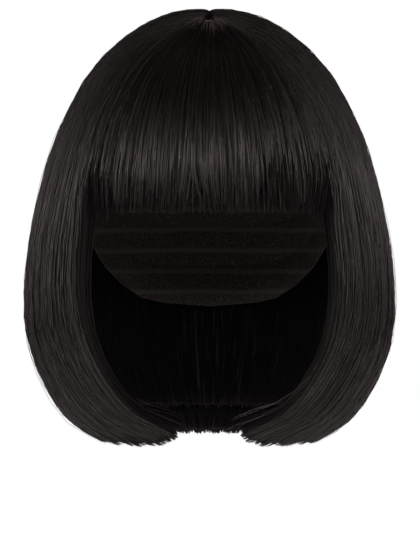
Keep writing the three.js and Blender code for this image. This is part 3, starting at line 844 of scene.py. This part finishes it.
def edge_wisps(place, run, length, wisps):
    """Lets the first strands of a side section, as many as wisps, stray over the open edge near their ends."""
    moved = place.copy()
    late = smooth((run[:wisps] / length[:wisps] - 0.7) / 0.3) ** 1.5
    stray = spread_evenly(wisps)[:, None]
    moved[:wisps, :, 0] -= np.sign(place[:wisps, :, 0]) * late * (2 + 9 * stray)
    moved[:wisps, :, 2] += late * (1 + 10 * (stray * 3.7 % 1))
    return moved


def fringe_x(angle):
    """How far to the side the fringe's cut lies at an angle."""
    return REACH_SIDE * section("side", np.full_like(angle, FRINGE_LEVEL)) * np.sin(angle * RADIANS)


def fringe_trim(angle, rng):
    """Shorter strands where the fringe is thin, and longer ones at its ends."""
    x = fringe_x(angle)
    picked = rng.random(len(angle))
    thin = np.where(np.abs(x - THIN_X) < THIN_WIDTH, np.where(picked < 0.55, 4 + 26 * picked, 0), 0)
    ends = np.where(np.abs(np.abs(x) - LONG_X) < LONG_WIDTH, np.where(picked < 0.5, -7 * picked - 1.5, 0), 0)
    return thin + ends


def fringe_shell_end(angle):
    """The fringe's backing ends early at its gap, where it is thin and at its ends."""
    wall = WALLS["fringe"]
    x = fringe_x(angle)
    gap = np.clip(1.35 - np.abs(x - NOTCH_X) / (NOTCH_HALF_WIDTH * 1.5), 0, 1)
    thin = smooth(1 - np.abs(x - THIN_X) / (THIN_WIDTH * 1.4))
    ends = smooth((np.abs(x) - BACKING_CORNER) / CORNER_WIDTH)
    length = wall.of_angle(wall.length, angle)
    return length - 5 - gap * (NOTCH_HEIGHT - 2) - thin * 16 - ends * (END_GAP_HEIGHT - 10)


def shell_end(wall, short):
    """A backing's end, a little above the ends of the hair."""
    return lambda angle: wall.of_angle(wall.length, angle) - short


# Angles of the few strands that hang in the gap of the fringe, and of the wisps at the edges by the face
GAP_STRANDS = [-5.3, -5.2, -5.1, -5.0, -3.7, -3.6, -3.5, -3.4, -3.3, -3.2, -1.8, -1.6, -1.4, -1.2]
EDGE_WISPS = [FRINGE_EDGE + 0.3 * i for i in range(1, 7)]

SIDE = dict(count=1640, points=20, width=(0.19, 0.4), ragged=0.32, root_reach=3.4, shape=edge_wisps,
            pull=(0.05, 0.3), bulk=0.045)
# edge_shade gives painted shade to strands by the face and at the fringe's ends, tip_shade to the fringe's tips,
# and shaded_root to the back's roots
STYLE = {
    "fringe": dict(count=1890, points=18, width=(0.17, 0.34), ragged=0.3, root_reach=3.0, shape=fringe_gap,
                   edge_shade=(FRINGE_EDGE, (16, 27), 0.76, 1.25), tip_shade=0.6, trim=fringe_trim,
                   fixed=GAP_STRANDS),
    "side_right": dict(SIDE, edge_shade=(FRINGE_EDGE, (0.4, 0.4), 0.45, 3), fixed=EDGE_WISPS),
    "side_left": dict(SIDE, edge_shade=(FRINGE_EDGE, (0.5, 0.5), 0.45, 4.2), fixed=[-a for a in EDGE_WISPS]),
    "back": dict(count=1990, points=17, width=(0.28, 0.52), ragged=0.28, root_reach=3.2, shaded_root=3,
                 lock_width=4.0, pull=(0, 0.25)),
    "nape_hair": dict(count=1450, points=11, width=(0.32, 0.56), ragged=0.4, lock_width=4.0, pull=(0, 0.25)),
}
# The short hairs by the parting, in the lighter material that also paints in their highlight
NEW_GROWTH = dict(count=120, points=9, width=(0.10, 0.18), ragged=0.2, shape=new_growth, trim=short_cut,
                  stray=0.0, material=FINE_HIGHLIGHT)
# share of the strands, lowest layer, highest layer
SIDE_LAYERS = [(0.04, -0.08, 0.0), (0.54, 0.0, 0.09), (0.22, 0.14, 0.86), (0.2, 0.88, 1.0)]
LAYERS = {
    "fringe": [(0.04, -0.1, 0.0), (0.56, 0.0, 0.11), (0.24, 0.16, 0.8), (0.16, 0.86, 1.0)],
    "side_right": SIDE_LAYERS,
    "side_left": SIDE_LAYERS,
    "back": [(0.03, -0.08, 0.0), (0.6, 0.0, 0.12), (0.14, 0.14, 0.88), (0.23, 0.9, 1.0)],
    "nape_hair": [(0.2, 0.0, 0.2), (0.2, 0.2, 0.8), (0.6, 0.85, 1.0)],
    "new_growth": [(1.0, -0.02, 0.05)],
}
# Rows of faces down each backing, and how much shorter than the hair it is
BACKING_ROWS = {"fringe": 34, "side_right": 46, "side_left": 46, "back": 46, "nape_hair": 20}
BACKING_SHORT = {"side_right": 1.8, "side_left": 1.8, "back": 1.0, "nape_hair": 1.8}


def build_hair():
    """Each section's strands and their backing, and then the short hairs by the parting."""
    for index, (name, wall) in enumerate(WALLS.items()):
        rng = np.random.default_rng(SEED + index)
        strand_set(name + "_strands", wall, rng, layers=LAYERS[name], slot_nodes=[name], **STYLE[name])
        last = fringe_shell_end if name == "fringe" else shell_end(wall, BACKING_SHORT[name])
        shell = shell_mesh(name + "_backing", wall, last, BACKING_SHADE, BACKING_ROWS[name])
        finish_piece(shell, [name])
    rng = np.random.default_rng(SEED + 20)
    strand_set("root_strands", WALLS["fringe"], rng, layers=LAYERS["new_growth"], slot_nodes=["fringe"],
               **NEW_GROWTH)


build_hair()
for node, material in (("cap", net_material()), ("parting", parting_material())):
    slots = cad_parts[node].data.materials
    slots.clear()
    slots.append(material)

# Stage, light and camera


def stage_material():
    """Pale paper that is bright of itself, so that it stays plain behind the object."""
    material, nodes, links, shader = new_material("paper", 0.1, 0.9)
    noise = add_texture(nodes, links, "Noise", Scale=3.0).outputs["Fac"]
    add_ramp(nodes, links, noise, (0, (0.6, 0.6, 0.6)), (1, (0.64, 0.64, 0.64)), shader.inputs["Base Color"])
    shader.inputs["Emission Color"].default_value = (1, 1, 1, 1)
    shader.inputs["Emission Strength"].default_value = 0.97
    return material


def build_stage():
    """A round floor that curves up into a wall on all sides."""
    floor_z, inner, flat, bend, height, around, bend_steps = -0.42, 1.5, 4.4, 1.6, 4.0, 72, 10
    profile = [(0.0, floor_z), (inner, floor_z), (flat, floor_z)]
    for i in range(1, bend_steps + 1):
        turn = i / bend_steps * math.pi / 2
        profile.append((flat + bend * math.sin(turn), floor_z + bend * (1 - math.cos(turn))))
    profile.append((flat + bend, floor_z + height))
    turns = np.arange(around) / around * 2 * math.pi
    vertices = [(0.0, 0.0, floor_z)]
    for r, z in profile[1:]:
        vertices += [(r * math.cos(t), r * math.sin(t), z) for t in turns]
    faces = [(0, 1 + i, 1 + (i + 1) % around) for i in range(around)]
    for k in range(len(profile) - 2):
        low, high = 1 + k * around, 1 + (k + 1) * around
        faces += [(low + i, high + i, high + (i + 1) % around, low + (i + 1) % around) for i in range(around)]
    mesh = bpy.data.meshes.new("backdrop")
    mesh.from_pydata(vertices, [], faces)
    mesh.polygons.foreach_set("use_smooth", [True] * len(faces))
    mesh.materials.append(stage_material())
    obj = bpy.data.objects.new("backdrop", mesh)
    obj.visible_glossy = False
    obj.visible_diffuse = False
    bpy.context.scene.collection.objects.link(obj)


def area_light(name, azimuth, elevation, distance, size, power):
    """A softbox that faces the wig. Azimuth 0 is in front of it, and 90 on the picture's right."""
    light = bpy.data.lights.new(name, "AREA")
    light.shape = "RECTANGLE"
    light.size, light.size_y = size
    light.energy = power
    light.color = WARM
    target = Vector(LIT_PLACE)
    a, e = azimuth * RADIANS, elevation * RADIANS
    away = Vector((math.sin(a) * math.cos(e), -math.cos(a) * math.cos(e), math.sin(e)))
    obj = bpy.data.objects.new(name, light)
    obj.location = target + away * distance
    obj.rotation_euler = (-away).to_track_quat("-Z", "Y").to_euler()
    obj.visible_camera = False
    bpy.context.scene.collection.objects.link(obj)


WARM = (1.0, 0.87, 0.86)
LIT_PLACE = (0, 0, -0.1)
# name, azimuth, elevation, distance in metres, size in metres, power in watts
LIGHTS = [
    ("key", 0, 18, 2.2, (1.5, 0.38), 16.2),
    ("front_right", 48, 15, 2.2, (1.4, 0.4), 15.8),
    ("front_left", -48, 15, 2.2, (1.4, 0.4), 16.8),
    ("low_right", 70, -1, 2.0, (0.5, 0.45), 7.2),
    ("low_left", -70, -1, 2.0, (0.5, 0.45), 8.2),
    ("side_right", 102, 10, 2.0, (1.1, 0.5), 3.2),
    ("side_left", -102, 10, 2.0, (1.1, 0.5), 3.4),
    ("back", 180, 17, 2.2, (1.5, 0.5), 16),
    ("back_right", 142, 5, 2.1, (1.0, 0.6), 6),
    ("back_left", -142, 5, 2.1, (1.0, 0.6), 6),
    ("top", 0, 88, 2.0, (0.9, 0.9), 0.7),
    ("floor", 0, -89, 0.31, (1.7, 1.7), 8.5),
]


def build_lights():
    for row in LIGHTS:
        area_light(*row)
    world = bpy.data.worlds.new("studio")
    bpy.context.scene.world = world
    world.use_nodes = True
    background = world.node_tree.nodes["Background"]
    background.inputs["Color"].default_value = (1, 1, 1, 1)
    background.inputs["Strength"].default_value = 0.012


def build_camera():
    """The view of the photograph: square to the face, almost level."""
    distance, elevation, target = 2.0, 1.0 * RADIANS, Vector((0.0003, 0.0, -0.143))
    view_height = 0.3181
    camera = bpy.data.cameras.new("camera")
    camera.sensor_width = 36.0
    camera.lens = 36.0 * distance / view_height
    camera.clip_start, camera.clip_end = 0.05, 50
    obj = bpy.data.objects.new("camera", camera)
    obj.location = target + Vector((0, -math.cos(elevation), math.sin(elevation))) * distance
    obj.rotation_euler = (target - obj.location).to_track_quat("-Z", "Y").to_euler()
    bpy.context.scene.collection.objects.link(obj)
    bpy.context.scene.camera = obj


build_stage()
build_lights()
build_camera()
bpy.context.scene.view_settings.view_transform = "Standard"
